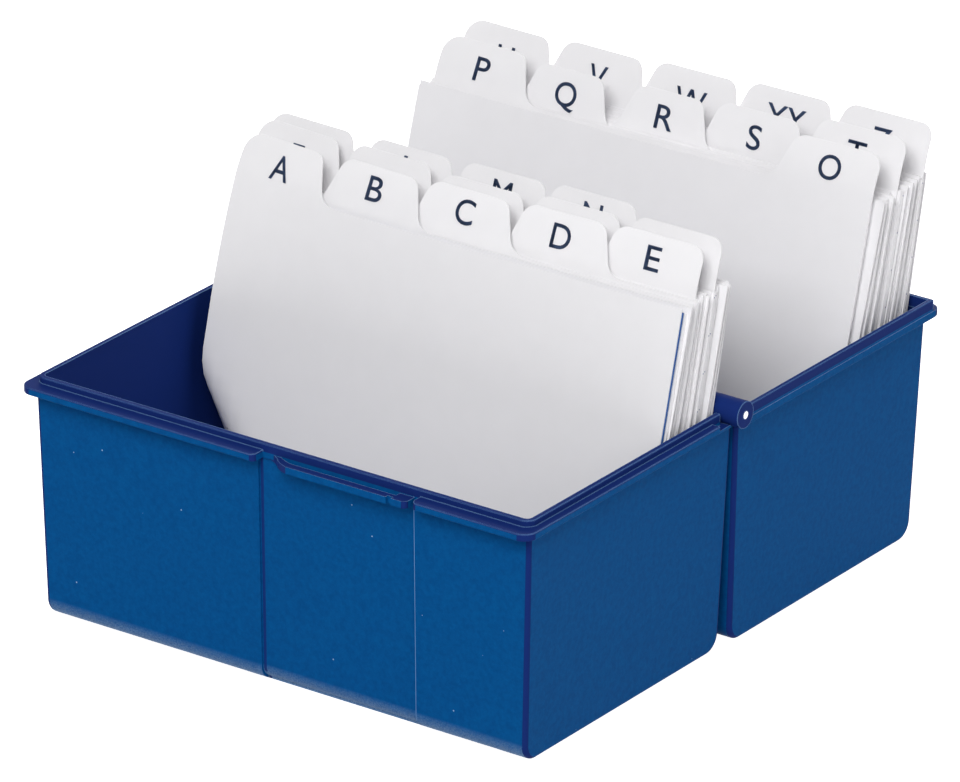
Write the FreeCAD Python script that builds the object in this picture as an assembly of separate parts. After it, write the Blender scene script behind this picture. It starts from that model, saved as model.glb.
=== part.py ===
"""Hinged index card box: two open trays, a steel hinge pin, tabbed guides and blank cards.

Millimetres, +Z up. The origin is on the underside of the front tray, at its middle. The hinge
runs along X, and the rear tray, which is also the lid, stands behind it on the +Y side.
"""
import FreeCAD, Part
import math
import os

# Cards and guides
card_width = 148.0
card_height = 104.0
card_thickness = 0.25
guide_thickness = 0.3
pack_gap = 0.05
tab_height = 12.8
tab_overlap = 1.9
tab_slope = 4.4
tab_corner_radius = 4.0
tab_foot_radius = 5.0
tab_places = 5
sheet_lift = 0.25

# Moulded trays
wall = 1.4
floor_thickness = 1.5
corner_radius = 1.2
foot_radius = 5.0
inner_foot_radius = 3.6
inner_corner_radius = 0.6
side_draft = 1.8
free_draft = 2.09
hinge_draft = 1.65
edge_softening = 0.3

# Front tray, measured from the hinge axis
card_side_room = 5.0
front_reach = 90.77
front_overrun = 1.25
front_rim_drop = 1.19
front_flange_depth = 2.09
front_side_overhang = 2.39
front_end_overhang = 4.31
flange_corner_radius = 3.9
lip_height = 1.8
lip_corner_radius = 3.0
lip_hinge_setback = 4.5
front_flange_start = 0.6
relief_length = 8.0
relief_depth = 1.3

# Lid, measured from the hinge axis
lid_side_step = 0.75
tray_gap = 0.9
lid_rim_drop = 2.28
lid_flange_depth = 2.09
lid_side_overhang = 2.82
lid_end_overhang = 3.87
ridge_thickness = 1.1
ridge_side_setback = 0.22
ridge_wall_setback = 0.69
ridge_lip_clearance = 0.44
closing_gap = 0.13

# Hinge
hinge_height = 68.65
knuckle_radius = 3.75
knuckle_clearance = 0.25
knuckle_gap = 0.35
end_knuckle_length = 14.0
end_knuckle_overhang = 1.33
middle_knuckles = 5
pin_radius = 1.05
pin_running_clearance = 0.05
pin_proud = 0.12
knuckle_web_depth = 3.65

# Catch in the front tray's rim, and the lid's tongue that snaps behind it
panel_left = -6.6
panel_width = 49.3
panel_depth = 0.7
flange_gap_left = -5.0
flange_gap_width = 50.0
flange_gap_corner = 1.5
bar_left = 5.3
bar_length = 33.3
bar_width = 2.5
bar_height = 1.9
bar_drop = 0.65
bar_arm_length = 8.8
bar_block_length = 4.6
bar_notch_length = 1.6
bar_notch_depth = 1.0
tongue_left = 10.0
tongue_length = 22.0
tongue_clearance = 0.15
barb_height = 1.3
barb_reach = 0.5

# Filing: how far each stack runs and leans back, from its first guide to its last
front_stack_knuckle_room = 0.25
front_stack_depth = 24.35
front_lean_start = 14.1
front_lean_end = 12.15
front_stack_shift = 1.4
lid_stack_ridge_room = 16.34
lid_stack_depth = 30.47
lid_lean_start = 15.7
lid_lean_end = 11.05
lid_stack_shift = 1.5
front_guides = ["a", "b", "c", "d", "e", "f", "g", "h", "i", "j", "k", "l", "m", "n"]
lid_guides = ["o", "p", "q", "r", "s", "t", "u", "v", "w", "xy", "z"]
front_tab_start = 0
lid_tab_start = 4
tight_cards = 2
cards_behind_guide = dict.fromkeys(["a", "b", "c", "d", "e"], 5)
cards_behind_guide.update(dict.fromkeys(front_guides[5:], tight_cards))
cards_behind_guide.update(dict.fromkeys(lid_guides, 6))
roomy_place = 1.5
tight_place = 1.0

# Sizes that follow from the ones above
front_half_width = card_width / 2 + card_side_room
front_rim = hinge_height - front_rim_drop
lid_half_width = front_half_width + lid_side_step
lid_rim = hinge_height - lid_rim_drop
hinge_y = (front_reach - front_overrun) / 2
lid_ridge_half_width = lid_half_width + lid_side_overhang - ridge_side_setback
ridge_inner_reach = front_reach + ridge_lip_clearance
ridge_outer_reach = ridge_inner_reach + ridge_thickness
sheet_foot = floor_thickness + sheet_lift
lid_reach = ridge_outer_reach + ridge_wall_setback
lid_hinge_offset = front_overrun + tray_gap
lid_ridge_top = 2 * hinge_height - front_rim - closing_gap
front_flange_reach = front_reach + front_end_overhang
bar_top = front_rim - bar_drop
bar_bottom = bar_top - bar_height
bar_back_reach = front_flange_reach - bar_width
panel_right = panel_left + panel_width
bar_right = bar_left + bar_length
hinge_end = lid_half_width + lid_side_overhang + end_knuckle_overhang
last_leaf_thickness = guide_thickness + pack_gap + tight_cards * card_thickness
knuckle_reach = knuckle_radius + front_stack_knuckle_room + last_leaf_thickness
knuckle_rise = (hinge_height - sheet_foot) * math.sin(math.radians(front_lean_end))
front_stack_end = -(knuckle_reach + knuckle_rise) / math.cos(math.radians(front_lean_end))
front_stack_start = front_stack_end - front_stack_depth
lid_stack_start = ridge_inner_reach - lid_stack_ridge_room - lid_stack_depth

FRONT = -1
BACK = 1
TINY = 0.01
BEYOND = 10.0

FRONT_TRAY = {
    "way": FRONT, "half_width": front_half_width, "near": -front_overrun,
    "far": front_reach, "rim": front_rim,
}
LID = {
    "way": BACK, "half_width": lid_half_width, "near": lid_hinge_offset,
    "far": lid_reach, "rim": lid_rim,
}


def place(way, reach):
    """Y of a point that lies a given distance from the hinge axis, to the front or to the back."""
    return hinge_y + way * reach


def block(way, x_ends, reaches, z_ends):
    """Box between two X values, two distances from the hinge axis and two heights."""
    ends = [x_ends, [place(way, reach) for reach in reaches], z_ends]
    low = [min(pair) for pair in ends]
    size = [abs(pair[1] - pair[0]) for pair in ends]
    return Part.makeBox(size[0], size[1], size[2], FreeCAD.Vector(*low))


def rod(radius, x_ends):
    """Cylinder on the hinge axis between two X values."""
    start = FreeCAD.Vector(x_ends[0], hinge_y, hinge_height)
    return Part.makeCylinder(radius, x_ends[1] - x_ends[0], start, FreeCAD.Vector(1, 0, 0))


def soften(shape, radius, wanted):
    """Fillet the edges whose bounding box is wanted."""
    edges = [edge for edge in shape.Edges if wanted(edge.BoundBox)]
    return shape.makeFillet(radius, edges)


def is_upright(box):
    """True for an edge that runs along Z."""
    return box.XLength < TINY and box.YLength < TINY


def is_level(box):
    """True for an edge that lies at one height."""
    return box.ZLength < TINY


def near_y(box, y):
    """True for an edge that lies in the plane at y."""
    return abs(box.YMin - y) < TINY and abs(box.YMax - y) < TINY


def tray_ring(tray, z, inset):
    """Rectangle of the tray's drafted walls at a height, moved in by an inset."""
    fall = (tray["rim"] - z) / tray["rim"]
    half = tray["half_width"] - side_draft * fall - inset
    near = place(tray["way"], tray["near"] + hinge_draft * fall + inset)
    far = place(tray["way"], tray["far"] - free_draft * fall - inset)
    corners = [(-half, near), (half, near), (half, far), (-half, far), (-half, near)]
    return Part.makePolygon([FreeCAD.Vector(x, y, z) for x, y in corners])


def tray_body(tray, inset, z_low, z_high, foot, corner):
    """Drafted box of a tray, with rolled front and back feet and softer sides."""
    body = Part.makeLoft([tray_ring(tray, z_low, inset), tray_ring(tray, z_high, inset)], True, True)
    body = soften(body, foot, lambda box: box.ZMax < z_low + TINY and box.YLength < TINY)
    side_edges = []
    for face in body.Faces:
        if abs(face.normalAt(0, 0).x) > abs(face.normalAt(0, 0).y) + abs(face.normalAt(0, 0).z):
            side_edges += [edge for edge in face.Edges if edge.BoundBox.ZMin < z_high - TINY]
    return body.makeFillet(corner, side_edges)


def rim_plate(tray, half, reaches, z_ends, corner):
    """Level plate with rounded corners at its far end."""
    plate = block(tray["way"], [-half, half], reaches, z_ends)
    far = place(tray["way"], reaches[1])
    return soften(plate, corner, lambda box: is_upright(box) and near_y(box, far))


def knuckle_spans():
    """X ends of each hinge knuckle from left to right; the lid owns the even ones."""
    inner_end = hinge_end - end_knuckle_length - knuckle_gap
    pitch = 2 * inner_end / middle_knuckles
    spans = [(-hinge_end, -hinge_end + end_knuckle_length)]
    for number in range(middle_knuckles):
        start = -inner_end + number * pitch
        low_gap = 0 if number == 0 else knuckle_gap / 2
        high_gap = 0 if number == middle_knuckles - 1 else knuckle_gap / 2
        spans.append((start + low_gap, start + pitch - high_gap))
    spans.append((hinge_end - end_knuckle_length, hinge_end))
    return spans


LID_SPANS = knuckle_spans()[0::2]
FRONT_SPANS = knuckle_spans()[1::2]


def add_knuckles(body, own_spans, other_spans, bore_radius):
    """Cut room for the other tray's knuckles, then add this tray's own with their bores."""
    for span in other_spans:
        room = [span[0] - knuckle_gap, span[1] + knuckle_gap]
        body = body.cut(rod(knuckle_radius + knuckle_clearance, room))
    body = body.fuse([rod(knuckle_radius, span) for span in own_spans])
    return body.cut(rod(bore_radius, [-hinge_end - BEYOND, hinge_end + BEYOND]))


def s_curve_arm():
    """Arm that swings from the tray's wall out to the left end of the catch bar."""
    start_x = bar_left - bar_arm_length
    middle_x = (start_x + bar_left) / 2
    wall_reach = front_reach - wall / 2
    outline = []
    for wall_end, bar_end in [(wall_reach - bar_width / 2, bar_back_reach), (wall_reach, front_flange_reach)]:
        middle = (wall_end + bar_end) / 2
        points = [(start_x, wall_end), (middle_x, middle), (bar_left, bar_end)]
        bend = (bar_end - wall_end) / 12
        first = ((start_x + middle_x) / 2, (wall_end + middle) / 2 - bend)
        second = ((middle_x + bar_left) / 2, (middle + bar_end) / 2 + bend)
        outline.append([points[0], first, points[1], second, points[2]])
    inner, outer = [[catch_point(x, reach) for x, reach in side] for side in outline]
    edges = [
        Part.Arc(inner[0], inner[1], inner[2]).toShape(),
        Part.Arc(inner[2], inner[3], inner[4]).toShape(),
        Part.makeLine(inner[4], outer[4]),
        Part.Arc(outer[4], outer[3], outer[2]).toShape(),
        Part.Arc(outer[2], outer[1], outer[0]).toShape(),
        Part.makeLine(outer[0], inner[0]),
    ]
    return Part.Face(Part.Wire(edges)).extrude(FreeCAD.Vector(0, 0, bar_height))


def catch_point(x, reach):
    """Point at the underside of the catch bar."""
    return FreeCAD.Vector(x, place(FRONT, reach), bar_bottom)


def catch_parts():
    """Catch bar with its arm at the left and its block at the right."""
    bar = block(FRONT, [bar_left, bar_right], [bar_back_reach, front_flange_reach], [bar_bottom, bar_top])
    block_end = bar_right + bar_block_length
    end_block = block(FRONT, [bar_right, block_end], [front_reach - wall / 2, front_flange_reach],
                      [bar_bottom, bar_top])
    front = place(FRONT, front_flange_reach)
    end_block = soften(end_block, flange_gap_corner,
                       lambda box: is_upright(box) and near_y(box, front) and box.XMin > bar_right + TINY)
    notch = block(FRONT, [bar_right - bar_notch_length, bar_right],
                  [front_flange_reach - bar_notch_depth, front_flange_reach + BEYOND],
                  [bar_bottom - BEYOND, bar_top + BEYOND])
    return bar.fuse([end_block, s_curve_arm()]).cut(notch)


def front_flange():
    """Front tray's flange, all the way along its front."""
    plate = rim_plate(FRONT_TRAY, front_half_width + front_side_overhang,
                      [front_flange_start, front_flange_reach], [front_rim - front_flange_depth, front_rim],
                      flange_corner_radius)
    hinge_side = place(FRONT, front_flange_start)
    return soften(plate, edge_softening, lambda box: is_level(box) and not near_y(box, hinge_side))


def flange_gap():
    """Room in the flange for the catch bar; it leaves the flange's two ends rounded."""
    z_ends = [front_rim - front_flange_depth - TINY, front_rim + TINY]
    gap_right = flange_gap_left + flange_gap_width
    gap = block(FRONT, [flange_gap_left, gap_right], [front_reach, front_flange_reach + BEYOND], z_ends)
    corners = []
    for edge_x, side in ((flange_gap_left, -1), (gap_right, 1)):
        centre_x = edge_x + side * flange_gap_corner
        centre_reach = front_flange_reach - flange_gap_corner
        corner = block(FRONT, [edge_x, centre_x], [centre_reach, front_flange_reach + TINY], z_ends)
        centre = FreeCAD.Vector(centre_x, place(FRONT, centre_reach), z_ends[0])
        corners.append(corner.cut(Part.makeCylinder(flange_gap_corner, z_ends[1] - z_ends[0], centre)))
    return gap.fuse(corners)


def make_front_tray():
    """Front tray: drafted shell, flange, lip, front panel, catch and hinge knuckles."""
    tray = tray_body(FRONT_TRAY, 0, 0, front_rim, foot_radius, corner_radius)
    lip_top = front_rim + lip_height
    lip = rim_plate(FRONT_TRAY, front_half_width, [lip_hinge_setback, front_reach],
                    [front_rim - wall, lip_top], lip_corner_radius)
    lip = soften(lip, edge_softening,
                 lambda box: is_level(box) and box.ZMin > front_rim and
                 not near_y(box, place(FRONT, lip_hinge_setback)))
    tray = tray.fuse(front_flange()).cut(flange_gap()).fuse(lip)
    tray = tray.cut(tray_body(FRONT_TRAY, wall, floor_thickness, front_rim, inner_foot_radius,
                              inner_corner_radius))
    lip_hollow = rim_plate(FRONT_TRAY, front_half_width - wall, [-BEYOND, front_reach - wall],
                           [front_rim, lip_top + BEYOND], lip_corner_radius - wall)
    tray = tray.cut(lip_hollow)
    tray = tray.cut(front_panel_recess())
    tray = tray.fuse(catch_parts())
    relief_top = front_rim - relief_depth
    for side in (-1, 1):
        inner_x = side * (front_half_width - wall - TINY)
        outer_x = side * (front_half_width + BEYOND)
        flange_relief = block(FRONT, [side * front_half_width, outer_x], [-BEYOND, relief_length],
                              [relief_top, front_rim + BEYOND])
        wall_relief = block(FRONT, [inner_x, outer_x], [-BEYOND, lip_hinge_setback],
                            [relief_top, front_rim + BEYOND])
        tray = tray.cut([flange_relief, wall_relief])
    tray = add_knuckles(tray, FRONT_SPANS, LID_SPANS, pin_radius + pin_running_clearance)
    return tray.removeSplitter()


def front_panel_recess():
    """Shallow recess of the full height in the front wall, following its draft."""
    skin = tray_body(FRONT_TRAY, 0, 0, front_rim, foot_radius, corner_radius)
    core = tray_body(FRONT_TRAY, panel_depth, panel_depth, front_rim, foot_radius - panel_depth,
                     corner_radius - panel_depth)
    window = block(FRONT, [panel_left, panel_right], [front_reach - foot_radius, front_reach + BEYOND],
                   [-BEYOND, front_rim - front_flange_depth])
    return skin.cut(core).common(window)


def make_lid():
    """Rear tray, which is also the lid: drafted shell, flange, ridge, tongue and knuckles."""
    tray = tray_body(LID, 0, 0, lid_rim, foot_radius, corner_radius)
    half = lid_half_width + lid_side_overhang
    flange = rim_plate(LID, half, [lid_hinge_offset, lid_reach + lid_end_overhang],
                       [lid_rim - lid_flange_depth, lid_rim], flange_corner_radius)
    hinge_side = place(BACK, lid_hinge_offset)
    flange = soften(flange, edge_softening, lambda box: is_level(box) and not near_y(box, hinge_side))
    ridge = block(BACK, [-lid_ridge_half_width, lid_ridge_half_width], [lid_hinge_offset, ridge_outer_reach],
                  [lid_rim - wall / 2, lid_ridge_top])
    ridge = soften(ridge, edge_softening,
                   lambda box: is_level(box) and box.ZMin > lid_rim and not near_y(box, hinge_side))
    ridge_inner = lid_ridge_half_width - ridge_thickness
    ridge_hollow = block(BACK, [-ridge_inner, ridge_inner], [-BEYOND, ridge_inner_reach],
                         [lid_rim, lid_ridge_top + BEYOND])
    webs = []
    for span in LID_SPANS:
        web_end = [max(span[0], -half), min(span[1], half)]
        webs.append(block(BACK, web_end, [lid_hinge_offset, knuckle_web_depth], [lid_rim - wall, hinge_height]))
    tray = tray.fuse([flange, ridge]).cut(ridge_hollow)
    tray = tray.cut(tray_body(LID, wall, floor_thickness, lid_rim, inner_foot_radius, inner_corner_radius))
    tray = tray.fuse(webs + [latch_tongue()])
    tray = add_knuckles(tray, LID_SPANS, FRONT_SPANS, pin_radius)
    return tray.removeSplitter()


def latch_tongue():
    """Tongue on the far ridge; with the lid shut its barb sits just under the catch bar."""
    tongue_ends = [tongue_left, tongue_left + tongue_length]
    barb_low = 2 * hinge_height - bar_bottom + tongue_clearance
    barb_high = barb_low + barb_height
    tongue = block(BACK, tongue_ends, [ridge_inner_reach, ridge_outer_reach],
                   [lid_ridge_top - wall, barb_high])
    barb = block(BACK, tongue_ends, [ridge_outer_reach - ridge_thickness / 2, ridge_outer_reach + barb_reach],
                 [barb_low, barb_high])
    return tongue.fuse(barb)


def make_pin():
    """Steel hinge pin, pressed into the lid's knuckles and free to turn in the front tray's."""
    return rod(pin_radius, [-hinge_end - pin_proud, hinge_end + pin_proud])


def card_pack(count, lean):
    """Cards pressed together behind a guide: each leans back, and all stand on their long edges."""
    slant = math.radians(lean)
    near = (guide_thickness + pack_gap) / math.cos(slant)
    far = near + count * card_thickness / math.cos(slant)
    back = card_height * math.sin(slant)
    top = card_height * math.cos(slant)
    profile = [(near, 0), (far, 0), (far + back, top), (near + back, top), (near, 0)]
    wire = Part.makePolygon([FreeCAD.Vector(-card_width / 2, y, z) for y, z in profile])
    return Part.Face(wire).extrude(FreeCAD.Vector(card_width, 0, 0))


def flat_guide(tab_place):
    """One guide standing upright, with its tab in one of the places along its top edge.

    A tab's sides slope in and meet the top edge in a curve, but at either end of the guide the
    outer side runs straight up from the guide's own edge.
    """
    half = card_width / 2
    pitch = card_width / tab_places
    tab_top = card_height + tab_height
    left_foot = -half + pitch * tab_place - tab_overlap
    right_foot = -half + pitch * (tab_place + 1) + tab_overlap
    outline = [(-half, 0), (half, 0)]
    feet = []
    if tab_place == tab_places - 1:
        outline.append((half, tab_top))
    else:
        outline += [(half, card_height), (right_foot, card_height), (right_foot - tab_slope, tab_top)]
        feet.append(right_foot)
    if tab_place == 0:
        outline.append((-half, tab_top))
    else:
        outline += [(left_foot + tab_slope, tab_top), (left_foot, card_height), (-half, card_height)]
        feet.append(left_foot)
    wire = Part.makePolygon([FreeCAD.Vector(x, 0, z) for x, z in outline + outline[:1]])
    guide = Part.Face(wire).extrude(FreeCAD.Vector(0, guide_thickness, 0))
    guide = round_outline(guide, tab_corner_radius, lambda box: box.ZMin > tab_top - TINY)
    return round_outline(guide, tab_foot_radius, lambda box: abs(box.ZMin - card_height) < TINY and
                         min(abs(box.XMin - foot) for foot in feet) < TINY)


def round_outline(guide, radius, wanted):
    """Round corners of a guide's outline, chosen by the place of the edge through its thickness."""
    def through(box):
        return box.XLength < TINY and box.ZLength < TINY and wanted(box)
    return soften(guide, radius, through)


def file_stack(guides, first_tab, start, depth, lean_start, lean_end, shift):
    """Guides and packs of cards of one tray by node name, filed from the front to the back."""
    places = [0]
    for letter in guides[:-1]:
        places.append(places[-1] + (tight_place if cards_behind_guide[letter] == tight_cards else roomy_place))
    nodes = {}
    for number, letter in enumerate(guides):
        share = places[number] / places[-1]
        lean = lean_start + (lean_end - lean_start) * share
        foot = FreeCAD.Vector(shift, hinge_y + start + depth * share, sheet_foot)
        guide = flat_guide((first_tab + number) % tab_places)
        guide.rotate(FreeCAD.Vector(0, 0, 0), FreeCAD.Vector(1, 0, 0), -lean)
        pack = card_pack(cards_behind_guide[letter], lean)
        nodes["guide_" + letter] = [guide.translated(foot)]
        nodes["cards_" + letter] = [pack.translated(foot)]
    return nodes


def build_parts():
    """Every node of the box by name, each with its list of solids."""
    nodes = {"front_tray": [make_front_tray()], "rear_tray": [make_lid()], "hinge_pin": [make_pin()]}
    nodes.update(file_stack(front_guides, front_tab_start, front_stack_start, front_stack_depth,
                            front_lean_start, front_lean_end, front_stack_shift))
    nodes.update(file_stack(lid_guides, lid_tab_start, lid_stack_start, lid_stack_depth,
                            lid_lean_start, lid_lean_end, lid_stack_shift))
    return nodes


os.makedirs("parts", exist_ok=True)
for node_name, solids in build_parts().items():
    shape = solids[0] if len(solids) == 1 else Part.makeCompound(solids)
    shape.exportStep("parts/" + node_name + ".step")
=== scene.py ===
import bpy
import numpy as np
from mathutils import Matrix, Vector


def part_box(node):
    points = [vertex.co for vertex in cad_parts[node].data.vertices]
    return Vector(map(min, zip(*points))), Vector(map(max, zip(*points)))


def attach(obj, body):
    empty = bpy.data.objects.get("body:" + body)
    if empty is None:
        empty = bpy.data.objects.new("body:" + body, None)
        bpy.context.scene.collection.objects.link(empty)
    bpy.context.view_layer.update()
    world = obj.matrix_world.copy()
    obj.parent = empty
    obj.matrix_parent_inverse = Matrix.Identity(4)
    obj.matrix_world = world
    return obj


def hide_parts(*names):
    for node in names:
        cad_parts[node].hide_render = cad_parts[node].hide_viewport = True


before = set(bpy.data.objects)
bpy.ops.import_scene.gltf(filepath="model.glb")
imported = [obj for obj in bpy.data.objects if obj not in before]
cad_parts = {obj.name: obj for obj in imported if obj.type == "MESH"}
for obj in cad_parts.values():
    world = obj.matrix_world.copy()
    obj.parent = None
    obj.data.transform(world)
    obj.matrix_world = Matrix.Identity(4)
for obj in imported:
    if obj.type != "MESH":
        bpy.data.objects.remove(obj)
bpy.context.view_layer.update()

# --- View ---------------------------------------------------------------------------------
# A long lens on a tripod stands in front and to the right of the open box, a little above it,
# and takes in both trays with their cards.
LENS_MM = 380.06
SENSOR_MM = 36.0
VIEW_TARGET = np.array([-18.55, 70.73, 40.0])
VIEW_DISTANCE = 2719.23
VIEW_TURN, VIEW_RISE, VIEW_ROLL = np.radians([34.96, 23.36, 0.69])
NEAREST_SEEN = 50.0
# Places in this script are in millimetres, and MM turns them to the scene's metres.
MM = 0.001


def view_axes(turn, rise, roll):
    """Camera axes: away from the target by turn about Z and rise above level, then rolled."""
    away = np.array([np.sin(turn) * np.cos(rise), -np.cos(turn) * np.cos(rise), np.sin(rise)])
    level = np.array([np.cos(turn), np.sin(turn), 0.0])
    upward = np.cross(away, level)
    right = level * np.cos(roll) + upward * np.sin(roll)
    return right, np.cross(away, right), away


def stand(axes, place):
    """Matrix with three axes and a place in metres as its columns."""
    return Matrix([*np.column_stack([*axes, place]).tolist(), [0, 0, 0, 1]])


camera = bpy.data.objects.new("camera", bpy.data.cameras.new("camera"))
bpy.context.scene.collection.objects.link(camera)
camera_axes = view_axes(VIEW_TURN, VIEW_RISE, VIEW_ROLL)
camera.matrix_world = stand(camera_axes, (VIEW_TARGET + camera_axes[2] * VIEW_DISTANCE) * MM)
camera.data.lens = LENS_MM
camera.data.sensor_width = SENSOR_MM
camera.data.clip_start = NEAREST_SEEN * MM
bpy.context.scene.camera = camera
bpy.context.scene.view_settings.view_transform = "Standard"

# --- Table and light ------------------------------------------------------------------------
# The box stands on a white table top under broad soft lamps, in a white room. Seen straight, the
# table and the room are plain white; the light that they throw back on the box is softer. The
# table lies a hair below the box, so that no two faces share a plane.
TABLE_SIZE = 6000.0
TABLE_DROP = 0.05
TABLE_COLOUR = "#E9E9EA"
ROOM_COLOUR = "#FFFFFF"
LEVEL_STRENGTH = 0.23
OVERHEAD_STRENGTH = 0.32
LIT_POINT = np.array([0.0, 50.0, 50.0])


def linear(code):
    """Linear colour of an sRGB hex code, with no transparency."""
    level = np.array([int(code[place:place + 2], 16) for place in (1, 3, 5)]) / 255
    level = np.where(level <= 0.04045, level / 12.92, ((level + 0.055) / 1.055) ** 2.4)
    return (*level.tolist(), 1.0)


def node(tree, kind, settings=None, links=None, **values):
    """Add a node. Settings are its own properties. Values go to its sockets, where an underscore
    stands for a space and _1 is socket number 1. Links feed its sockets from other nodes' outputs,
    and a whole node stands for its first output."""
    made = tree.nodes.new("ShaderNode" + kind)
    for key, value in (settings or {}).items():
        setattr(made, key, value)
    for key, value in values.items():
        socket = int(key[1:]) if key[1:].isdigit() else key.replace("_", " ")
        made.inputs[socket].default_value = value
    for key, source in (links or {}).items():
        if isinstance(source, bpy.types.Node):
            source = source.outputs[0]
        tree.links.new(source, made.inputs[key])
    return made


def new_material(name):
    """A material with an empty node tree."""
    made = bpy.data.materials.new(name)
    made.use_nodes = True
    made.node_tree.nodes.clear()
    return made, made.node_tree


def seen_straight(tree):
    """One on rays from the camera or from a mirror image, and zero on the rays that carry light."""
    path = node(tree, "LightPath").outputs
    return node(tree, "Math", {"operation": "MAXIMUM"}, {0: path["Is Camera Ray"], 1: path["Is Glossy Ray"]})


def mesh_piece(name, points, faces, material):
    """A piece from points in millimetres and lists of their numbers, one for each face."""
    mesh = bpy.data.meshes.new(name)
    mesh.from_pydata((np.asarray(points, float) * MM).tolist(), [], faces)
    mesh.materials.append(material)
    piece = bpy.data.objects.new(name, mesh)
    bpy.context.scene.collection.objects.link(piece)
    return piece


# Matt white laminate: evenly pale with no shine. It is lifted to the room's white wherever the
# eye meets it, so it shows no shadow.
laminate, tree = new_material("white_laminate_table_top")
matt = node(tree, "BsdfDiffuse", Color=linear(TABLE_COLOUR))
lift = node(tree, "Emission", None, {"Strength": seen_straight(tree)}, Color=linear(ROOM_COLOUR))
both = node(tree, "AddShader", None, {0: matt, 1: lift})
node(tree, "OutputMaterial", None, {"Surface": both})
half = TABLE_SIZE / 2
table = mesh_piece("table_top", [[-half, -half, -TABLE_DROP], [half, -half, -TABLE_DROP],
                                 [half, half, -TABLE_DROP], [-half, half, -TABLE_DROP]],
                   [[0, 1, 2, 3]], laminate)

# The room's soft light is even below eye level and grows from there to straight overhead.
world = bpy.data.worlds.new("white_room")
world.use_nodes = True
room = world.node_tree
room.nodes.clear()
upward = node(room, "SeparateXYZ", None, {"Vector": node(room, "TexCoord").outputs["Generated"]})
fall = node(room, "MapRange", None, {"Value": upward.outputs["Z"]}, To_Min=LEVEL_STRENGTH,
            To_Max=OVERHEAD_STRENGTH)
soft = node(room, "Background", None, {"Strength": fall}, Color=linear(ROOM_COLOUR))
white = node(room, "Background", Color=linear(ROOM_COLOUR), Strength=1.0)
choice = node(room, "MixShader", None, {0: seen_straight(room), 1: soft, 2: white})
node(room, "OutputWorld", None, {"Surface": choice})
bpy.context.scene.world = world


def softbox(name, place, size, power):
    """A square lamp, its power in watts, turned so that its beam, its -Z, meets the lit point."""
    lamp = bpy.data.lights.new(name, "AREA")
    lamp.shape = "SQUARE"
    lamp.size = size * MM
    lamp.energy = power
    away = np.array(place) - LIT_POINT
    away /= np.linalg.norm(away)
    across = np.cross([0.0, 0.0, 1.0], away)
    across /= np.linalg.norm(across)
    made = bpy.data.objects.new(name, lamp)
    made.matrix_world = stand((across, np.cross(away, across), away), np.array(place) * MM)
    bpy.context.scene.collection.objects.link(made)


softbox("key_lamp", place=(700, -1800, 1900), size=1300, power=51.0)
softbox("side_lamp", place=(1900, -300, 900), size=900, power=7.0)
softbox("back_lamp", place=(-900, 2200, 1100), size=1000, power=20.0)

# --- Trays ----------------------------------------------------------------------------------
# Two open trays, injection moulded in navy blue polystyrene. The mould is spark eroded outside,
# which leaves a fine pale grain. Inside and on the rims a deeper navy is painted as shade, and
# fine bright lines are painted along their edges as highlights.
BLUE = "#054883"
BLUE_GRAIN = "#06538F"
PAINTED_SHADE_NAVY = "#172C6B"
HIGHLIGHT_BLUE = "#7CA6D6"
FOOT_HIGHLIGHT_BLUE = "#8FADCB"
DUST = "#8FB3D2"
PLASTIC_IOR = 1.59
PLASTIC_SPECULAR = 0.01
PLASTIC_ROUGHNESS = (0.34, 0.46)
# Spark eroded grain is about 0.1 mm across, and is drawn coarser so that it shows.
GRAIN_MM = 0.45
GRAIN_DEPTH_MM = 0.05
GRAIN_STRENGTH = 0.35
GRAIN_SPAN = (0.3, 0.7)
MOTTLE_MM = 1.6
MOTTLE_SPAN = (0.35, 0.7)
# Dust: one cell in eight or so of a 3.2 mm scatter holds a speck, a twentieth of a cell in radius.
DUST_MM = 3.2
DUST_SHARE = 0.12
DUST_RADIUS = (0.05, 0.075)
# Where deep navy is painted as shade: faces that look this far towards the tray's middle, faces
# that look up, the lip, the knuckles and the walls' rounded corners. All but the last have
# highlight lines painted on their edges.
INSIDE_MM = 10.0
UP_FACING = 0.5
LIP_FOOT_MM = 67.0
KNUCKLE_REACH_MM = 4.0
CORNER_FACING = 0.12
EDGE_MM = 0.45
EDGE_TURN = (0.88, 0.99)
EDGE_HIGHLIGHT_STRENGTH = 0.7
# On the front wall: a pale highlight painted along its foot, a fine light line painted as an edge
# highlight and painted shade on the step beside the panel.
FOOT_HIGHLIGHT_TOP_MM = 5.5
FOOT_HIGHLIGHT_FULL_MM = 1.5
FOOT_HIGHLIGHT_FACING = -0.2
FOOT_HIGHLIGHT_SHARE = (0.15, 0.75)
WALL_FACING = -0.9
# A fine light line painted as an edge highlight on the front wall.
HIGHLIGHT_LINE_PLACE_MM = 42.8
HIGHLIGHT_LINE_WIDTH_MM = 0.22
HIGHLIGHT_LINE_STRENGTH = 0.5
# A dark line painted as the shade of the step beside the panel.
STEP_SHADE_PLACE_MM = -5.9
STEP_SHADE_WIDTH_MM = 0.9
STEP_SHADE_STRENGTH = 0.85


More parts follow.
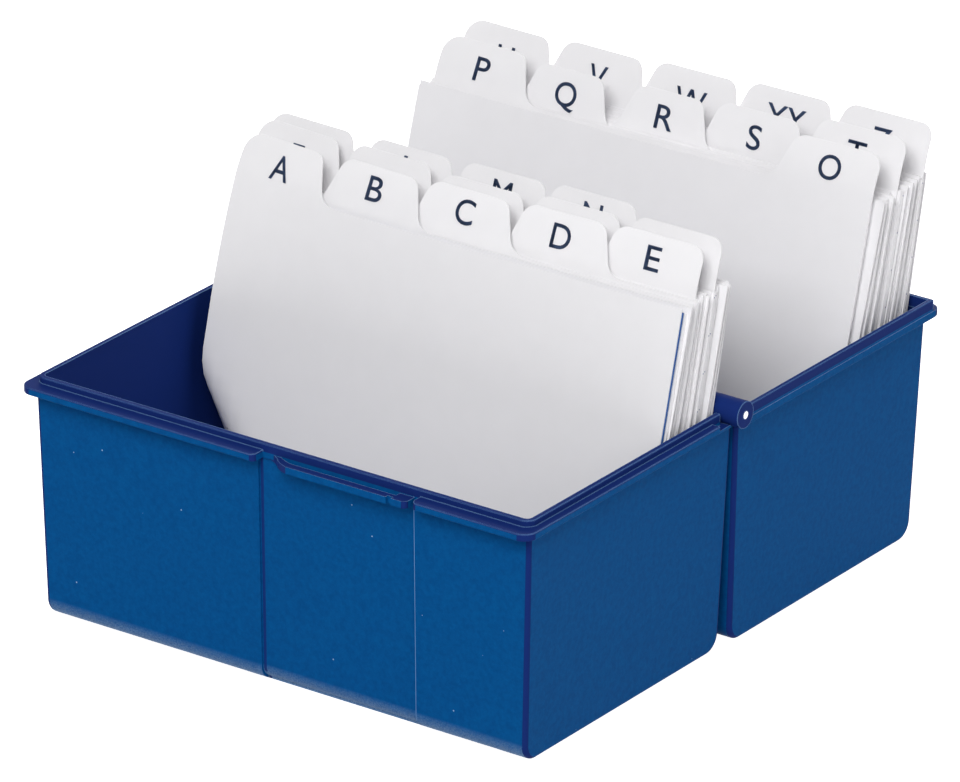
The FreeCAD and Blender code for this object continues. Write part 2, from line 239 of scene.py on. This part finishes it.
def moulded_polystyrene(name):
    """Satin blue outside with grain and dust specks, and on the front tray a pale stippled highlight
    painted along its foot; deep navy painted as shade inside and on top, with highlight lines painted
    along its edges. A face is inside when the way from the tray's middle to it, kept level, runs
    against its normal. Each layer is a share from 0 to 1 and a colour, laid over those before it."""
    made, tree = new_material("navy_moulded_polystyrene_" + name)
    low, high = (np.array(corner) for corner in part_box(name))
    middle = (low + high) / 2
    pin = np.mean(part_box("hinge_pin"), axis=0)
    coords = node(tree, "TexCoord").outputs
    place = coords["Object"]
    normal = node(tree, "SeparateXYZ", None, {"Vector": coords["Normal"]}).outputs
    split = node(tree, "SeparateXYZ", None, {"Vector": place}).outputs
    grain = node(tree, "TexNoise", None, {"Vector": place}, Scale=1 / (GRAIN_MM * MM), Detail=2.0,
                 Roughness=0.6)

    out_from = node(tree, "VectorMath", {"operation": "SUBTRACT"}, {0: place}, _1=middle.tolist())
    level = node(tree, "VectorMath", {"operation": "MULTIPLY"}, {0: out_from}, _1=(1.0, 1.0, 0.0))
    facing = node(tree, "VectorMath", {"operation": "DOT_PRODUCT"}, {0: level, 1: coords["Normal"]})
    shade_painted_faces = node(tree, "Math", {"operation": "LESS_THAN"}, {0: facing.outputs["Value"]},
                    _1=-INSIDE_MM * MM)
    beside_pin = node(tree, "VectorMath", {"operation": "MULTIPLY"}, {0: place}, _1=(0.0, 1.0, 1.0))
    from_pin = node(tree, "VectorMath", {"operation": "DISTANCE"}, {0: beside_pin},
                    _1=(0.0, *pin[1:].tolist()))
    for test, source, limit in (
            ("GREATER_THAN", normal["Z"], UP_FACING),
            ("GREATER_THAN", split["Z"], low[2].item() + LIP_FOOT_MM * MM),
            ("LESS_THAN", from_pin.outputs["Value"], KNUCKLE_REACH_MM * MM)):
        there = node(tree, "Math", {"operation": test}, {0: source}, _1=limit)
        shade_painted_faces = node(tree, "Math", {"operation": "MAXIMUM"}, {0: shade_painted_faces, 1: there})
    # The walls' rounded corners get the same painted shade.
    turning = node(tree, "Math", {"operation": "MULTIPLY"}, {0: normal["X"], 1: normal["Y"]})
    turning = node(tree, "Math", {"operation": "ABSOLUTE"}, {0: turning})
    corner = node(tree, "Math", {"operation": "GREATER_THAN"}, {0: turning}, _1=CORNER_FACING)
    painted_shade = node(tree, "Math", {"operation": "MAXIMUM"}, {0: shade_painted_faces, 1: corner})

    # Painted highlight: a fine light line where the bevel finds an edge, on the shade-painted faces only.
    rounded = node(tree, "Bevel", {"samples": 4}, Radius=EDGE_MM * MM)
    spread = node(tree, "VectorMath", {"operation": "DOT_PRODUCT"},
                  {0: rounded, 1: node(tree, "NewGeometry").outputs["True Normal"]})
    edge = node(tree, "MapRange", None, {"Value": spread.outputs["Value"]}, From_Min=EDGE_TURN[0],
                From_Max=EDGE_TURN[1], To_Min=1.0, To_Max=0.0)
    edge = node(tree, "Math", {"operation": "MULTIPLY"}, {0: edge, 1: shade_painted_faces})
    edge = node(tree, "Math", {"operation": "MULTIPLY"}, {0: edge}, _1=EDGE_HIGHLIGHT_STRENGTH)

    cells = node(tree, "TexVoronoi", None, {"Vector": place}, Scale=1 / (DUST_MM * MM)).outputs
    chance = node(tree, "SeparateColor", None, {"Color": cells["Color"]}).outputs
    chosen = node(tree, "Math", {"operation": "LESS_THAN"}, {0: chance["Red"]}, _1=DUST_SHARE)
    speck = node(tree, "MapRange", None, {"Value": cells["Distance"]}, From_Min=DUST_RADIUS[0],
                 From_Max=DUST_RADIUS[1], To_Min=1.0, To_Max=0.0)
    speck = node(tree, "Math", {"operation": "MULTIPLY"}, {0: speck, 1: chosen})

    layers = [(speck, DUST)]
    if name == "front_tray":
        # A pale stippled band painted as a highlight along the foot of the front wall.
        foot = node(tree, "MapRange", None, {"Value": split["Z"]},
                    From_Min=low[2].item() + FOOT_HIGHLIGHT_FULL_MM * MM, From_Max=low[2].item() + FOOT_HIGHLIGHT_TOP_MM * MM,
                    To_Min=1.0, To_Max=0.0)
        ahead = node(tree, "Math", {"operation": "LESS_THAN"}, {0: normal["Y"]}, _1=FOOT_HIGHLIGHT_FACING)
        foot_highlight = node(tree, "Math", {"operation": "MULTIPLY"}, {0: foot, 1: ahead})
        stipple = node(tree, "MapRange", None, {"Value": grain}, From_Min=GRAIN_SPAN[0],
                       From_Max=GRAIN_SPAN[1], To_Min=FOOT_HIGHLIGHT_SHARE[0], To_Max=FOOT_HIGHLIGHT_SHARE[1])
        foot_highlight = node(tree, "Math", {"operation": "MULTIPLY"}, {0: foot_highlight, 1: stipple})
        layers.insert(0, (foot_highlight, FOOT_HIGHLIGHT_BLUE))
        wall = node(tree, "Math", {"operation": "LESS_THAN"}, {0: normal["Y"]}, _1=WALL_FACING)
        # The light line is a painted highlight; the step mark is painted shade.
        for mark_place, width, strength, colour in (
                (HIGHLIGHT_LINE_PLACE_MM, HIGHLIGHT_LINE_WIDTH_MM, HIGHLIGHT_LINE_STRENGTH, HIGHLIGHT_BLUE),
                (STEP_SHADE_PLACE_MM, STEP_SHADE_WIDTH_MM, STEP_SHADE_STRENGTH, PAINTED_SHADE_NAVY)):
            off = node(tree, "Math", {"operation": "SUBTRACT"}, {0: split["X"]}, _1=mark_place * MM)
            off = node(tree, "Math", {"operation": "ABSOLUTE"}, {0: off})
            mark = node(tree, "Math", {"operation": "LESS_THAN"}, {0: off}, _1=width / 2 * MM)
            mark = node(tree, "Math", {"operation": "MULTIPLY"}, {0: mark, 1: wall})
            mark = node(tree, "Math", {"operation": "MULTIPLY"}, {0: mark}, _1=strength)
            layers.append((mark, colour))
    layers += [(painted_shade, PAINTED_SHADE_NAVY), (edge, HIGHLIGHT_BLUE)]

    mottle = node(tree, "TexNoise", None, {"Vector": place}, Scale=1 / (MOTTLE_MM * MM), Detail=5.0,
                  Roughness=0.65)
    cloud = node(tree, "MapRange", None, {"Value": mottle}, From_Min=MOTTLE_SPAN[0],
                 From_Max=MOTTLE_SPAN[1])
    paint = node(tree, "Mix", {"data_type": "RGBA"}, {0: cloud}, _6=linear(BLUE), _7=linear(BLUE_GRAIN))
    for share, colour in layers:
        paint = node(tree, "Mix", {"data_type": "RGBA"}, {0: share, 6: paint.outputs[2]},
                     _7=linear(colour))
    bump = node(tree, "Bump", None, {"Height": grain}, Strength=GRAIN_STRENGTH,
                Distance=GRAIN_DEPTH_MM * MM)
    rough = node(tree, "MapRange", None, {"Value": grain}, From_Min=GRAIN_SPAN[0],
                 From_Max=GRAIN_SPAN[1], To_Min=PLASTIC_ROUGHNESS[0], To_Max=PLASTIC_ROUGHNESS[1])
    shader = node(tree, "BsdfPrincipled", None,
                  {"Base Color": paint.outputs[2], "Roughness": rough, "Normal": bump},
                  IOR=PLASTIC_IOR, Specular_IOR_Level=PLASTIC_SPECULAR)
    node(tree, "OutputMaterial", None, {"Surface": shader})
    return made


for name in ("front_tray", "rear_tray"):
    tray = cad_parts[name]
    tray.data.materials.clear()
    tray.data.materials.append(moulded_polystyrene(name))

# --- Hinge pin ------------------------------------------------------------------------------
# A length of bright drawn steel wire, cropped at both ends and pressed into the lid's knuckles.
# The die leaves fine lines along it, which spread its shine across the wire. They are drawn
# coarser than the real ones, of a few hundredths of a millimetre.
STEEL = "#D9DADB"
DIE_LINE_MM = 0.25
DIE_LINE_LENGTH_MM = 25.0
STEEL_ROUGHNESS = (0.18, 0.34)
steel, tree = new_material("bright_drawn_steel_wire")
along = node(tree, "Mapping", None, {"Vector": node(tree, "TexCoord").outputs["Object"]},
             Scale=[1 / (size * MM) for size in (DIE_LINE_LENGTH_MM, DIE_LINE_MM, DIE_LINE_MM)])
lines = node(tree, "TexNoise", None, {"Vector": along}, Scale=1.0, Detail=1.0)
rough = node(tree, "MapRange", None, {"Value": lines}, To_Min=STEEL_ROUGHNESS[0],
             To_Max=STEEL_ROUGHNESS[1])
shader = node(tree, "BsdfPrincipled", None, {"Roughness": rough}, Base_Color=linear(STEEL), Metallic=1.0)
node(tree, "OutputMaterial", None, {"Surface": shader})
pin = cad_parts["hinge_pin"]
pin.data.materials.clear()
pin.data.materials.append(steel)

# --- Guides ---------------------------------------------------------------------------------
# Die cut from white card 0.3 mm thick, with one tab each in five places across, and stood on the
# trays' floors. The sheets spring a little: they bow back at the left, most of all the first
# ones, and the front stack's lower left corners are bent back where they catch.
SHEET_WIDTH = 148.0
SHEET_HEIGHT = 104.0
GUIDE_THICKNESS = 0.3
TAB_HEIGHT = 12.8
TAB_PLACES = 5
TAB_OVERLAP = 1.9
TAB_SLOPE = 4.4
TAB_CORNER = 4.0
TAB_FOOT = 5.0
TAB_OUTER_CORNER = 5.0
FRONT_GUIDES = ["a", "b", "c", "d", "e", "f", "g", "h", "i", "j", "k", "l", "m", "n"]
LID_GUIDES = ["o", "p", "q", "r", "s", "t", "u", "v", "w", "xy", "z"]
LID_FIRST_TAB = 4
GUIDE_TAB = {**{letter: number % TAB_PLACES for number, letter in enumerate(FRONT_GUIDES)},
             **{letter: (number + LID_FIRST_TAB) % TAB_PLACES for number, letter in enumerate(LID_GUIDES)}}
# Two tabs are cut narrower, and some guides are cut lower by so many millimetres.
NARROW_TABS = "qr"
NARROW_BY = 1.9
LOW_GUIDES = {"h": 1.5, "i": 0.8, "q": 1.8, "r": 1.7, "s": 1.6}
# How far the top of a guide, and of its cards, has slipped to the right of its foot.
SLIPPED = {"a": 0.3, "b": 2.0, "c": 1.0, "d": 0.9, "e": -1.0, "f": -0.8, "l": 2.2, "m": 2.0, "n": 0.5,
           "o": -1.0, "p": 1.8, "q": -0.3, "r": 1.2, "s": -0.8, "u": 1.8, "v": 2.0, "w": 1.8, "xy": 1.2,
           "z": 1.0}
# The crease of the bent corner: a point on it, the way over it, the width it turns in, its angle.
CREASE_AT = (-74.0, 58.0)
CREASE_NORMAL = np.array([-0.75, -0.66])
CREASE_RAMP = 7.0
CREASE_TURN = np.radians(52.0)
# The bow: where it starts across the sheet, its reach to the left edge and its depth there; then
# from what height it deepens, over what reach and by how much, and what later sheets lose of it.
BOW_START = 10.0
BOW_REACH = 84.0
BOW_DEPTH = 3.8
BOW_TIP_START = 70.0
BOW_TIP_REACH = 35.0
BOW_TIP_DEPTH = 2.6
BOW_LOST = 0.6
BOW_LOST_LATE = 0.3
CORNER_LOST = 0.6
LID_BOW = 0.35
TAB_BACK = 2.2
TAB_BACK_LOST = 0.5
# How finely the sheets are divided: rows close up over the top part, where the tabs bend.
TOP_STEP = 4.0
TOP_PART = 0.86
GUIDE_ROWS = 26
TOP_ROWS = 14
ARC_POINTS = 9
GUIDE_COLOUR = "#EDECEE"
CARD_IOR = 1.5
CARD_ROUGHNESS = 0.62
CARD_SPECULAR = 0.3
PULP_MM = 6.25
PULP_SPAN = (0.3, 0.7)
PULP_SHADE = 0.985
# The tooth of card stock is about 0.1 mm across, and is drawn coarser so that it shows.
TOOTH_MM = 0.35
TOOTH_DEPTH_MM = 0.03
TOOTH_STRENGTH = 0.12


def leaf_place(letter):
    """Foot point, in the middle of its width, and lean of a guide, from its solid's box: the
    sheet's own length and the depth that it covers give the lean."""
    low, high = (np.array(corner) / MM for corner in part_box("guide_" + letter))
    lean = np.arcsin((high[1] - low[1] - GUIDE_THICKNESS) / (SHEET_HEIGHT + TAB_HEIGHT))
    foot_z = low[2] + GUIDE_THICKNESS * np.sin(lean)
    return np.array([(low[0] + high[0]) / 2, low[1], foot_z]), lean


def springing(letter):
    """Share of the full bow, share of the corner's full turn, and millimetres that the tab leans
    back. In the front tray all three fall evenly from the first guide to the last, and the bow
    loses a little more over the last few. In the lid every sheet has the same."""
    if letter in LID_GUIDES:
        return LID_BOW, 0.0, TAB_BACK
    share = FRONT_GUIDES.index(letter) / (len(FRONT_GUIDES) - 1)
    bow = 1 - BOW_LOST * share - BOW_LOST_LATE * share ** 4
    return bow, 1 - CORNER_LOST * share, TAB_BACK * (1 - TAB_BACK_LOST * share)


def sheet_points(letter, across, height, depth, slip_limit=np.inf):
    """Place flat sheet points in the box. Beyond its crease the lower left corner bends back: the
    bend's angle grows evenly to its full value, and the sheet keeps its length, so what it gains
    in depth it loses in reach. The bow grows with the square of the way to the left, and near the
    top with the square of the height too, as the tab's lean does. The sheet slips sideways in
    step with its height, leans back on its foot, and goes no lower than its foot."""
    foot, lean = leaf_place(letter)
    bow, corner, tab_back = springing(letter)
    full = CREASE_TURN * corner
    beyond = (across - CREASE_AT[0]) * CREASE_NORMAL[0] + (height - CREASE_AT[1]) * CREASE_NORMAL[1]
    beyond = np.maximum(beyond, 0)
    back = 0 * beyond
    if full > 0:
        ramp = np.minimum(beyond, CREASE_RAMP)
        rest = beyond - ramp
        angle = full * ramp / CREASE_RAMP
        reach = CREASE_RAMP / full * np.sin(angle) + rest * np.cos(full)
        back = CREASE_RAMP / full * (1 - np.cos(angle)) + rest * np.sin(full)
        lost = beyond - reach
        across = across - lost * CREASE_NORMAL[0]
        height = height - lost * CREASE_NORMAL[1]
    side = np.clip((BOW_START - across) / BOW_REACH, 0, None) ** 2
    tip = np.clip((height - BOW_TIP_START) / BOW_TIP_REACH, 0, None) ** 2
    tab = np.clip((height - SHEET_HEIGHT) / TAB_HEIGHT, 0, None) ** 2
    depth = depth + back + bow * side * (BOW_DEPTH + BOW_TIP_DEPTH * tip) + tab_back * tab
    across = across + min(SLIPPED.get(letter, 0.0), slip_limit) * height / SHEET_HEIGHT
    rise = np.maximum(height * np.cos(lean) - depth * np.sin(lean), 0)
    return np.stack([foot[0] + across, foot[1] + height * np.sin(lean) + depth * np.cos(lean),
                     foot[2] + rise], -1)


def rounded_line(corners, radii):
    """Polyline whose corners are replaced by arcs tangent to both sides, each of its radius. An
    arc's points are its start and end, seen from its centre, mixed by the sines of the angles
    left and turned."""
    points = [np.array(corners[:1], float)]
    for before, corner, after, radius in zip(corners, corners[1:], corners[2:], radii):
        before, corner, after = (np.array(p, float) for p in (before, corner, after))
        one = (before - corner) / np.linalg.norm(before - corner)
        two = (after - corner) / np.linalg.norm(after - corner)
        opening = np.arccos(np.clip(one @ two, -1, 1))
        reach = radius / np.tan(opening / 2)
        centre = corner + (one + two) / np.linalg.norm(one + two) * radius / np.sin(opening / 2)
        start = corner + one * reach - centre
        end = corner + two * reach - centre
        turn = np.arccos(np.clip(start @ end / radius ** 2, -1, 1))
        share = np.linspace(0, 1, ARC_POINTS)[:, None]
        mixed = start * np.sin((1 - share) * turn) + end * np.sin(share * turn)
        points.append(centre + mixed / np.sin(turn))
    points.append(np.array(corners[-1:], float))
    return np.concatenate(points)


def guide_top(letter):
    """Top edge of a guide from left to right, with its tab, and with points added along it so
    that none are further apart across the sheet than the top step. An outer tab runs straight up
    from the sheet's edge, so the shoulder's point on that side is left out."""
    half = SHEET_WIDTH / 2
    pitch = SHEET_WIDTH / TAB_PLACES
    tab_place = GUIDE_TAB[letter]
    overlap = TAB_OVERLAP - NARROW_BY * (letter in NARROW_TABS)
    left = -half + pitch * tab_place - overlap
    right = -half + pitch * (tab_place + 1) + overlap
    shoulder = SHEET_HEIGHT - LOW_GUIDES.get(letter, 0.0)
    top = shoulder + TAB_HEIGHT
    if tab_place == 0:
        corners = [(-half, shoulder), (-half, top)]
        radii = [TAB_OUTER_CORNER]
    else:
        corners = [(-half, shoulder), (left, shoulder), (left + TAB_SLOPE, top)]
        radii = [TAB_FOOT, TAB_CORNER]
    if tab_place == TAB_PLACES - 1:
        corners += [(half, top), (half, shoulder)]
        radii += [TAB_CORNER]
    else:
        corners += [(right - TAB_SLOPE, top), (right, shoulder), (half, shoulder)]
        radii += [TAB_CORNER, TAB_FOOT]
    line = rounded_line(corners, radii)
    if tab_place == 0:
        line = line[1:]
    if tab_place == TAB_PLACES - 1:
        line = line[:-1]
    cuts = np.maximum(1, np.ceil(np.abs(np.diff(line[:, 0])) / TOP_STEP)).astype(int)
    own = np.concatenate([[0], np.cumsum(cuts)])
    return np.stack([np.interp(np.arange(own[-1] + 1), own, line[:, axis]) for axis in (0, 1)], -1)


def sheet_piece(name, letter, top_line, near, thickness, material, rows, slip_limit=np.inf):
    """Closed sheet: a grid under its top line, put at two depths and joined round the rim. Its
    faces are smooth and its rim is sharp, and its UV map is the flat sheet in metres."""
    rise = np.concatenate([np.linspace(0, TOP_PART, rows), np.linspace(TOP_PART, 1, TOP_ROWS)[1:]])[:, None]
    across = np.broadcast_to(top_line[None, :, 0], (len(rise), len(top_line)))
    height = rise * top_line[None, :, 1]
    front = sheet_points(letter, across, height, near, slip_limit)
    back = sheet_points(letter, across, height, near + thickness, slip_limit)
    count = across.size
    index = np.arange(count).reshape(across.shape)
    quads = np.stack([index[:-1, :-1], index[:-1, 1:], index[1:, 1:], index[1:, :-1]], -1).reshape(-1, 4)
    rim = np.concatenate([index[0, :-1], index[:-1, -1], index[-1, :0:-1], index[:0:-1, 0]])
    ahead = np.roll(rim, -1)
    edge = np.stack([rim, rim + count, ahead + count, ahead], -1)
    faces = np.concatenate([quads, quads[:, ::-1] + count, edge])
    piece = mesh_piece(name, np.concatenate([front.reshape(-1, 3), back.reshape(-1, 3)]),
                       faces.tolist(), material)
    flat = np.stack([across, height], -1).reshape(-1, 2)
    flat = np.concatenate([flat, flat]) * MM
    mesh = piece.data
    mesh.uv_layers.new(name="flat").data.foreach_set("uv", flat[faces.ravel()].ravel())
    mesh.polygons.foreach_set("use_smooth", np.arange(len(faces)) < 2 * len(quads))
    ends = np.zeros(len(mesh.edges) * 2, int)
    mesh.edges.foreach_get("vertices", ends)
    mesh.edges.foreach_set("use_edge_sharp", np.isin(ends % count, rim).reshape(-1, 2).all(1))
    return piece


def card_stock(name, colour, rule=None):
    """Card stock, matt and even: the faintest clouds of the pulp under its colour, a soft tooth
    that keeps its shine dull, and printed lines where rule gives their pitch, width and colour."""
    made, tree = new_material(name)
    place = node(tree, "TexCoord").outputs["Object"]
    pulp = node(tree, "TexNoise", None, {"Vector": place}, Scale=1 / (PULP_MM * MM), Detail=4.0)
    shade = node(tree, "MapRange", None, {"Value": pulp}, From_Min=PULP_SPAN[0],
                 From_Max=PULP_SPAN[1], To_Min=PULP_SHADE, To_Max=1.0)
    tooth = node(tree, "TexNoise", None, {"Vector": place}, Scale=1 / (TOOTH_MM * MM), Detail=2.0)
    bump = node(tree, "Bump", None, {"Height": tooth}, Strength=TOOTH_STRENGTH,
                Distance=TOOTH_DEPTH_MM * MM)
    paint = node(tree, "Mix", {"data_type": "RGBA", "blend_type": "MULTIPLY"}, {7: shade}, _0=1.0,
                 _6=linear(colour))
    if rule:
        pitch, width, ink_colour = rule
        flat = node(tree, "UVMap", {"uv_map": "flat"})
        split = node(tree, "SeparateXYZ", None, {"Vector": flat})
        off_line = node(tree, "Math", {"operation": "PINGPONG"}, {0: split.outputs["Y"]},
                        _1=pitch * MM / 2)
        line = node(tree, "Math", {"operation": "LESS_THAN"}, {0: off_line}, _1=width * MM / 2)
        paint = node(tree, "Mix", {"data_type": "RGBA"}, {0: line, 6: paint.outputs[2]},
                     _7=linear(ink_colour))
    shader = node(tree, "BsdfPrincipled", None, {"Base Color": paint.outputs[2], "Normal": bump},
                  Roughness=CARD_ROUGHNESS, IOR=CARD_IOR, Specular_IOR_Level=CARD_SPECULAR)
    node(tree, "OutputMaterial", None, {"Surface": shader})
    return made


guide_card = card_stock("white_guide_card", GUIDE_COLOUR)
for letter in FRONT_GUIDES + LID_GUIDES:
    piece = sheet_piece("tabbed_guide_" + letter, letter, guide_top(letter), 0.0,
                        GUIDE_THICKNESS, guide_card, GUIDE_ROWS)
    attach(piece, "leaf_" + letter)
    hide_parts("guide_" + letter)

# --- Letters --------------------------------------------------------------------------------
# Each tab is printed with its capital, and one with two, 6.4 mm high in a dark blue-grey ink. The
# ink has spread into the card, so the strokes are a little heavier than the type.
LETTER_HEIGHT = 6.4
INK_SPREAD = 0.06
INK_PASSES = 8
INK_STAND = 0.05
CURVE_STEPS = 6
NEAR_STEP = 0.5
WIDE_LETTERS = {"B": 1.15, "E": 1.2, "F": 1.15, "L": 1.15, "P": 1.15, "R": 1.15, "S": 1.15, "T": 1.1}
# How high each letter's middle stands over the sheet's full height: the printing isn't level.
LETTER_MIDDLE = {"a": 6.1, "bc": 7.2, "de": 6.7, "f": 5.6, "ghij": 4.6, "k": 5.0, "lmn": 7.2, "o": 6.4,
                 "p": 5.9, "q": 3.8, "rs": 4.2, "w": 4.6, "u": 4.8, "v": 5.4, "t": 6.0, "xyz": 5.6}

# Printing ink: an even film with a low sheen, the same all over.
INK = "#43587F"
INK_ROUGHNESS = 0.5
ink, tree = new_material("dark_printing_ink")
shader = node(tree, "BsdfPrincipled", Base_Color=linear(INK), Roughness=INK_ROUGHNESS)
node(tree, "OutputMaterial", None, {"Surface": shader})


def letter_outline(text):
    """Points and faces of a word in plain type as a flat mesh, centred, and its height."""
    curve = bpy.data.curves.new("type", "FONT")
    curve.body = text
    curve.resolution_u = CURVE_STEPS
    holder = bpy.data.objects.new("type", curve)
    flat = bpy.data.meshes.new_from_object(holder)
    points = np.zeros(len(flat.vertices) * 3)
    flat.vertices.foreach_get("co", points)
    points = points.reshape(-1, 3)[:, :2]
    faces = [list(face.vertices) for face in flat.polygons]
    bpy.data.objects.remove(holder)
    bpy.data.curves.remove(curve)
    bpy.data.meshes.remove(flat)
    low, high = points.min(0), points.max(0)
    return points - (low + high) / 2, faces, high[1] - low[1]


# A letter lies on the tangent plane at its tab's middle, which the two ways along the sheet span.
# It is printed several times on a small circle, which makes its strokes heavier.
capital_height = letter_outline("H")[2]
beside = NEAR_STEP * np.array([0.0, 1.0, -1.0, 0.0, 0.0])
above = NEAR_STEP * np.array([0.0, 0.0, 0.0, 1.0, -1.0])
turn = np.linspace(0, 2 * np.pi, INK_PASSES, endpoint=False)[:, None, None]
spread = np.concatenate([np.cos(turn), np.sin(turn)], -1) * INK_SPREAD
for letter in FRONT_GUIDES + LID_GUIDES:
    text = letter.upper()
    points, faces = letter_outline(text)[:2]
    points = points * LETTER_HEIGHT / capital_height * [WIDE_LETTERS.get(text, 1.0), 1.0]
    middle = -SHEET_WIDTH / 2 + SHEET_WIDTH / TAB_PLACES * (GUIDE_TAB[letter] + 0.5)
    rise = next(high for row, high in LETTER_MIDDLE.items() if letter in row)
    near = sheet_points(letter, middle + beside, SHEET_HEIGHT + rise + above, -INK_STAND)
    sideways = (near[1] - near[2]) / (2 * NEAR_STEP)
    upwards = (near[3] - near[4]) / (2 * NEAR_STEP)
    heavy = (points[None] + spread).reshape(-1, 2)
    placed = near[0] + heavy[:, :1] * sideways + heavy[:, 1:] * upwards
    inked = [[corner + printed * len(points) for corner in face]
             for printed in range(INK_PASSES) for face in faces]
    piece = mesh_piece("printed_letter_" + letter, placed, inked, ink)
    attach(piece, "leaf_" + letter)

# --- Cards ----------------------------------------------------------------------------------
# White index cards, cut from quarter-millimetre stock and filed in a pack behind each guide. Some
# are ruled in dark blue and one is blue all over, and no pack is knocked up quite level.
CARD_THICKNESS = 0.25
CARD_AIR = 0.01
PACK_AIR = 0.05
CARD_ROWS = 20
CARD_COLUMNS = 33
FULL_PACKS = "abcde"
CARDS_IN_FULL_PACK = 5
CARDS_IN_FRONT_PACK = 2
CARDS_IN_LID_PACK = 6
# Cards were pushed in a few at a time: each new group has its own shift to the side and its own
# drop below the guides, and a gap before it. They slip with their guide, but to the right only
# as far as a limit.
NEW_GROUP = 0.3
GROUP_GAP = 0.15
SIDE_RANGE = (-0.9, 1.0)
DROP_RANGE = (0.2, 1.6)
CARD_SLIP_LIMIT = 0.6
RULED_ONE_OF = 7
SHUFFLE_SEED = 7
BLUE_CARD = ("a", 0)
BLUE_SIDE = 0.35
BLUE_DROP = 1.0
CARD_COLOUR = "#F0EFF1"
BLUE_CARD_COLOUR = "#2C5795"
RULE_PITCH = 10.2
RULE_WIDTH = 0.35
RULE_COLOUR = "#3B4F8C"
ruled_card = card_stock("white_ruled_card", CARD_COLOUR, (RULE_PITCH, RULE_WIDTH, RULE_COLOUR))
plain_card = card_stock("white_plain_card", CARD_COLOUR)
blue_card = card_stock("blue_plain_card", BLUE_CARD_COLOUR)
shuffle = np.random.default_rng(SHUFFLE_SEED)
for letter in FRONT_GUIDES + LID_GUIDES:
    lean = leaf_place(letter)[1]
    count = CARDS_IN_LID_PACK
    if letter in FRONT_GUIDES:
        count = CARDS_IN_FULL_PACK if letter in FULL_PACKS else CARDS_IN_FRONT_PACK
    near = GUIDE_THICKNESS + PACK_AIR
    ruled_one = shuffle.integers(0, RULED_ONE_OF)
    for number in range(count):
        if number == 0 or shuffle.uniform() < NEW_GROUP:
            side = shuffle.uniform(*SIDE_RANGE)
            drop = shuffle.uniform(*DROP_RANGE)
            near += GROUP_GAP * (number > 0)
        lift = -drop
        stock = ruled_card if number == ruled_one else plain_card
        if (letter, number) == BLUE_CARD:
            side = BLUE_SIDE
            lift = -BLUE_DROP
            stock = blue_card
        depth = near + number * CARD_THICKNESS
        top = SHEET_HEIGHT + (lift + depth * np.tan(lean))
        columns = np.linspace(-SHEET_WIDTH / 2, SHEET_WIDTH / 2, CARD_COLUMNS) + side
        piece = sheet_piece("card_%s_%d" % (letter, number + 1), letter,
                            np.stack([columns, np.full(CARD_COLUMNS, top)], -1), depth,
                            CARD_THICKNESS - CARD_AIR, stock, CARD_ROWS, CARD_SLIP_LIMIT)
        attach(piece, "leaf_" + letter)
        if number == 0:
            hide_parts("cards_" + letter)
